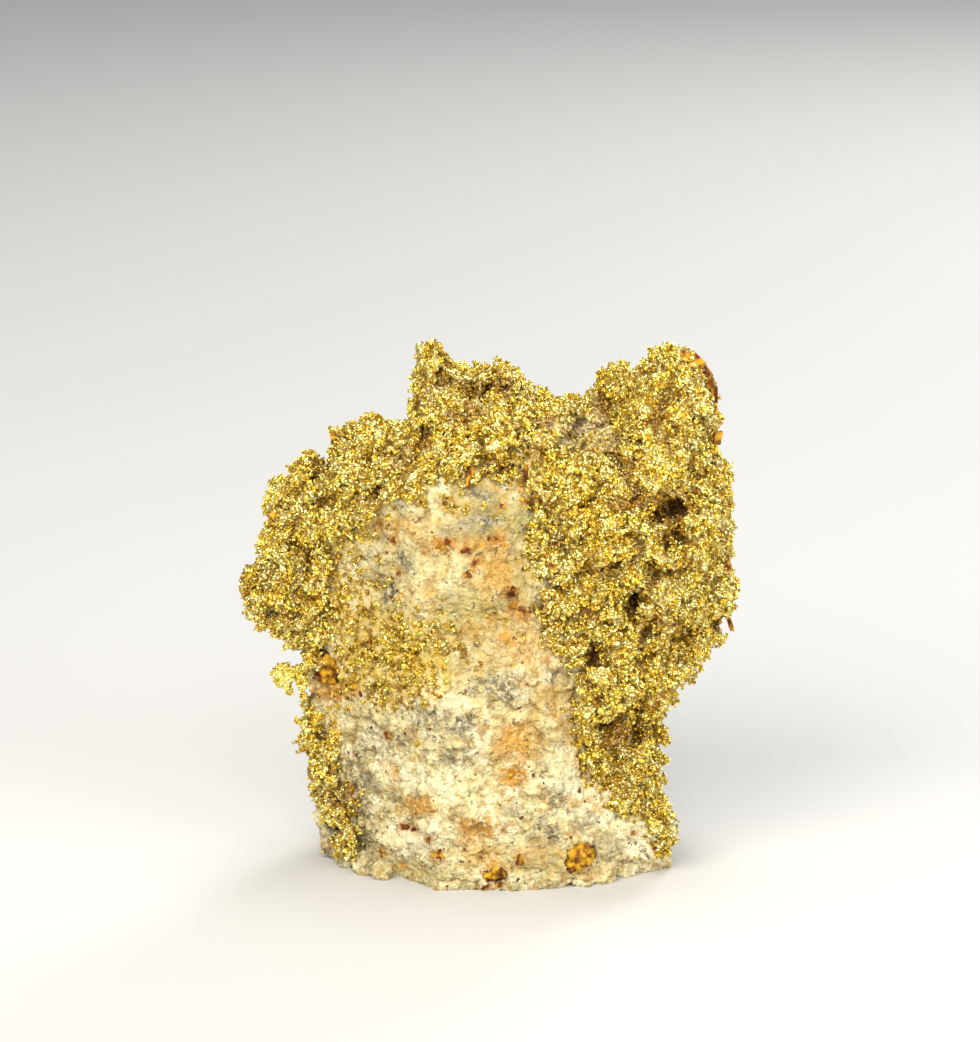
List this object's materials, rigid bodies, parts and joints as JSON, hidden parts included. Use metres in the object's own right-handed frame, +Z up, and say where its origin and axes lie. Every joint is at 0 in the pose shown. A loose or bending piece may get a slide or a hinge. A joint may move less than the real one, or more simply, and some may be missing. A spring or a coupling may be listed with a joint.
{
  "type": "native gold on quartz specimen",
  "caption": "Cabinet mineral specimen: block of milky vein quartz on a flat base, with spongy crystallised gold over one side and along its top.",
  "frame": {"origin": "in the flat resting face of the quartz, below the middle of the specimen", "axes": "+Z up, along the height; -Y towards the front, which shows the quartz face with gold on its right"},
  "size_m": [0.0554, 0.0251, 0.0599],
  "materials": {
    "quartz": "milky vein quartz, broken surface with iron stains",
    "gold": "native gold, spongy mass of small bright crystals",
    "limonite": "limonite, dull earthy iron oxide"
  },
  "bodies": {
    "root": {"quartz_matrix": "quartz", "gold_mass": "gold", "gold_left_rim": "gold", "gold_sprig": "gold", "gold_face_crust": "gold", "limonite_foot_pocket": "limonite", "limonite_front_pocket": "limonite", "limonite_left_pocket": "limonite"}
  },
  "joints": []
}
